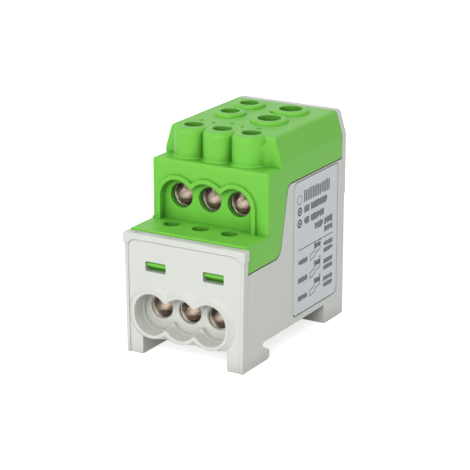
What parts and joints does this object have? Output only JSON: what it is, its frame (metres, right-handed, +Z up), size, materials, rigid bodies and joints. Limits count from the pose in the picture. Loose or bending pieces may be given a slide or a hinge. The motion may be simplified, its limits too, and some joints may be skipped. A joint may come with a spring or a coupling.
{
  "type": "power distribution block",
  "caption": "Rail-mounted power distribution block with a grey tub, a stepped green cover and a metal conductor whose front and rear wire bores are clamped by screws.",
  "frame": {"origin": "middle of the part's bounding box in X and Y, at the underside of its feet", "axes": "+X to the right along the rail, -Y out of the front wire entries, +Z up"},
  "size_m": [0.0386, 0.0628, 0.0621],
  "materials": {
    "housing_plastic": "moulded polyamide, finely textured",
    "cover_plastic": "moulded polyamide, finely textured",
    "conductor_metal": "nickel-plated",
    "screw_steel": "zinc-plated",
    "latch_plastic": "moulded",
    "spring_steel": "drawn wire",
    "label_film": "printed film"
  },
  "bodies": {
    "block": {"base_housing": "housing_plastic", "cover": "cover_plastic", "conductor_body": "conductor_metal", "latch_spring": "spring_steel", "side_label": "label_film"},
    "lower_screw_1": {"lower_screw_1": "screw_steel"},
    "lower_screw_2": {"lower_screw_2": "screw_steel"},
    "lower_screw_3": {"lower_screw_3": "screw_steel"},
    "upper_screw_1": {"upper_screw_1": "screw_steel"},
    "upper_screw_2": {"upper_screw_2": "screw_steel"},
    "upper_screw_3": {"upper_screw_3": "screw_steel"},
    "small_entry_screw_1": {"small_entry_screw_1": "screw_steel"},
    "small_entry_screw_2": {"small_entry_screw_2": "screw_steel"},
    "large_entry_screw_1": {"large_entry_screw_1": "screw_steel"},
    "large_entry_screw_2": {"large_entry_screw_2": "screw_steel"},
    "rail_latch": {"rail_latch": "latch_plastic"}
  },
  "joints": [
    {"name": "lower_screw_1_travel", "type": "slide", "parent": "block", "child": "lower_screw_1", "axis": [0, 0, 1], "range_m": [-0.0041, 0]},
    {"name": "lower_screw_2_travel", "type": "slide", "parent": "block", "child": "lower_screw_2", "axis": [0, 0, 1], "range_m": [-0.0041, 0]},
    {"name": "lower_screw_3_travel", "type": "slide", "parent": "block", "child": "lower_screw_3", "axis": [0, 0, 1], "range_m": [-0.0041, 0]},
    {"name": "upper_screw_1_travel", "type": "slide", "parent": "block", "child": "upper_screw_1", "axis": [0, 0, 1], "range_m": [-0.0041, 0]},
    {"name": "upper_screw_2_travel", "type": "slide", "parent": "block", "child": "upper_screw_2", "axis": [0, 0, 1], "range_m": [-0.0041, 0]},
    {"name": "upper_screw_3_travel", "type": "slide", "parent": "block", "child": "upper_screw_3", "axis": [0, 0, 1], "range_m": [-0.0041, 0]},
    {"name": "small_entry_screw_1_travel", "type": "slide", "parent": "block", "child": "small_entry_screw_1", "axis": [0, 0, 1], "range_m": [-0.0068, 0]},
    {"name": "small_entry_screw_2_travel", "type": "slide", "parent": "block", "child": "small_entry_screw_2", "axis": [0, 0, 1], "range_m": [-0.0068, 0]},
    {"name": "large_entry_screw_1_travel", "type": "slide", "parent": "block", "child": "large_entry_screw_1", "axis": [0, 0, 1], "range_m": [-0.0092, 0]},
    {"name": "large_entry_screw_2_travel", "type": "slide", "parent": "block", "child": "large_entry_screw_2", "axis": [0, 0, 1], "range_m": [-0.0092, 0]},
    {"name": "latch_slide", "type": "slide", "parent": "block", "child": "rail_latch", "axis": [0, 1, 0], "range_m": [0, 0.0024], "stiffness_N_per_m": 1500, "springref_m": -0.002, "deforming": ["latch_spring"]}
  ]
}
